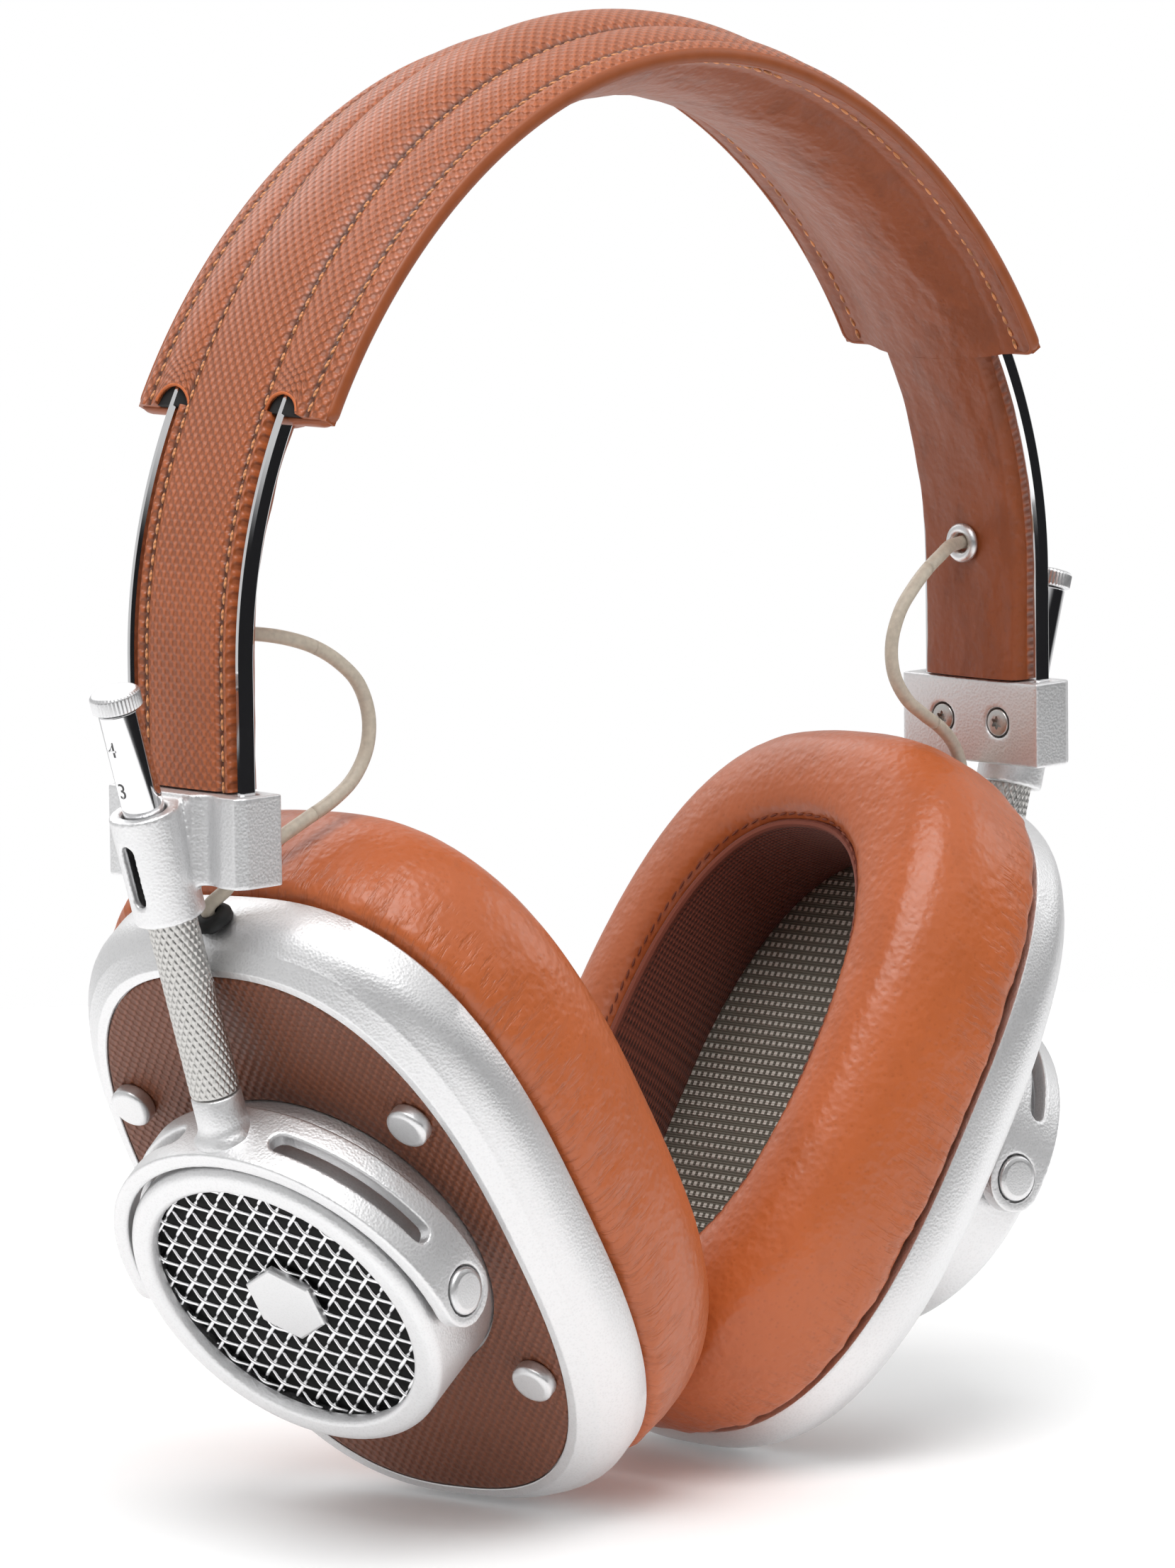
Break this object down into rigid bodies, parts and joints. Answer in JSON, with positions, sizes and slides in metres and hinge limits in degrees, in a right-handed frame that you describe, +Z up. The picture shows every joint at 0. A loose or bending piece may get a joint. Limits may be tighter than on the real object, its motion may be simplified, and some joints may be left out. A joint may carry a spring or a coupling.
{
  "type": "over-ear headphones",
  "caption": "Over-ear headphones with a padded band on two flat rails, sliding rods, swivelling yokes and tilting round-backed cups with soft oval ear pads.",
  "frame": {"origin": "centre of the footprint, on the floor that the cups stand on", "axes": "+Z up, the wearer faces -Y, +X is the wearer's left"},
  "size_m": [0.1942, 0.0752, 0.2081],
  "materials": {
    "coated_canvas": "coated canvas with an embossed weave, tan orange",
    "lambskin": "smooth lambskin, reddish tan, fine grain",
    "foam": "open cell foam, hidden",
    "polished_steel": "polished stainless steel",
    "satin_aluminium": "bead blasted aluminium, light silver",
    "woven_wire": "woven bright wire over a dark backing",
    "black_polymer": "moulded black plastic",
    "magnet_steel": "plated magnet and steel basket",
    "driver_film": "thin metallised film",
    "board_green": "printed circuit board",
    "acoustic_cloth": "grey green cloth with rows of pale dots",
    "black_rubber": "black rubber",
    "cream_cable": "cream sleeve"
  },
  "bodies": {
    "headband": {"headband_cover": "coated_canvas", "headband_lining": "lambskin", "headband_foam": "foam", "rail_front": "polished_steel", "rail_back": "polished_steel", "left_clamp": "satin_aluminium", "left_clamp_screw_front": "polished_steel", "left_clamp_screw_back": "polished_steel", "left_eyelet": "polished_steel", "right_clamp": "satin_aluminium", "right_clamp_screw_front": "polished_steel", "right_clamp_screw_back": "polished_steel", "right_eyelet": "polished_steel"},
    "left_slider": {"left_rod": "polished_steel", "left_rod_cap": "polished_steel", "left_knurled_sleeve": "polished_steel"},
    "left_yoke": {"left_yoke": "satin_aluminium", "left_pivot_front": "satin_aluminium", "left_pivot_back": "satin_aluminium"},
    "left_cup": {"left_cup_shell": "satin_aluminium", "left_inlay": "coated_canvas", "left_rivet_front_top": "satin_aluminium", "left_rivet_front_bottom": "satin_aluminium", "left_rivet_back_top": "satin_aluminium", "left_rivet_back_bottom": "satin_aluminium", "left_round_housing": "satin_aluminium", "left_mesh_grille": "woven_wire", "left_hex_badge": "satin_aluminium", "left_baffle": "black_polymer", "left_driver": "magnet_steel", "left_diaphragm": "driver_film", "left_terminal_board": "board_green", "left_ear_pad": "lambskin", "left_driver_cloth": "acoustic_cloth", "left_cable_grommet": "black_rubber", "left_cable": "cream_cable"},
    "right_slider": {"right_rod": "polished_steel", "right_rod_cap": "polished_steel", "right_knurled_sleeve": "polished_steel"},
    "right_yoke": {"right_yoke": "satin_aluminium", "right_pivot_front": "satin_aluminium", "right_pivot_back": "satin_aluminium"},
    "right_cup": {"right_cup_shell": "satin_aluminium", "right_inlay": "coated_canvas", "right_rivet_front_top": "satin_aluminium", "right_rivet_front_bottom": "satin_aluminium", "right_rivet_back_top": "satin_aluminium", "right_rivet_back_bottom": "satin_aluminium", "right_round_housing": "satin_aluminium", "right_mesh_grille": "woven_wire", "right_hex_badge": "satin_aluminium", "right_baffle": "black_polymer", "right_driver": "magnet_steel", "right_diaphragm": "driver_film", "right_terminal_board": "board_green", "right_ear_pad": "lambskin", "right_driver_cloth": "acoustic_cloth", "right_cable_grommet": "black_rubber", "right_cable": "cream_cable"}
  },
  "joints": [
    {"name": "left_slide", "type": "slide", "parent": "headband", "child": "left_slider", "axis": [0.2914, 0, 0.9566], "range_m": [-0.014, 0.0035], "deforming": ["left_cable", "left_ear_pad"]},
    {"name": "left_swivel", "type": "hinge", "parent": "left_slider", "child": "left_yoke", "pos_m": [0.08442, -0.00443, 0.09028], "axis": [0.2914, 0, 0.9566], "range_deg": [-82.8, 17.2], "deforming": ["left_cable", "left_ear_pad"]},
    {"name": "left_tilt", "type": "hinge", "parent": "left_yoke", "child": "left_cup", "pos_m": [0.05934, -0.00336, 0.03723], "axis": [0.1199, 0.9921, -0.0365], "range_deg": [-40, 0], "deforming": ["left_cable", "left_ear_pad"]},
    {"name": "right_slide", "type": "slide", "parent": "headband", "child": "right_slider", "axis": [-0.2914, 0, 0.9566], "range_m": [-0.014, 0.0035], "deforming": ["right_cable", "right_ear_pad"]},
    {"name": "right_swivel", "type": "hinge", "parent": "right_slider", "child": "right_yoke", "pos_m": [-0.08442, -0.00443, 0.09028], "axis": [-0.2914, 0, 0.9566], "range_deg": [-17.2, 82.8], "deforming": ["right_cable", "right_ear_pad"]},
    {"name": "right_tilt", "type": "hinge", "parent": "right_yoke", "child": "right_cup", "pos_m": [-0.05934, -0.00336, 0.03723], "axis": [0.1199, -0.9921, 0.0365], "range_deg": [-40, 0], "deforming": ["right_cable", "right_ear_pad"]}
  ]
}
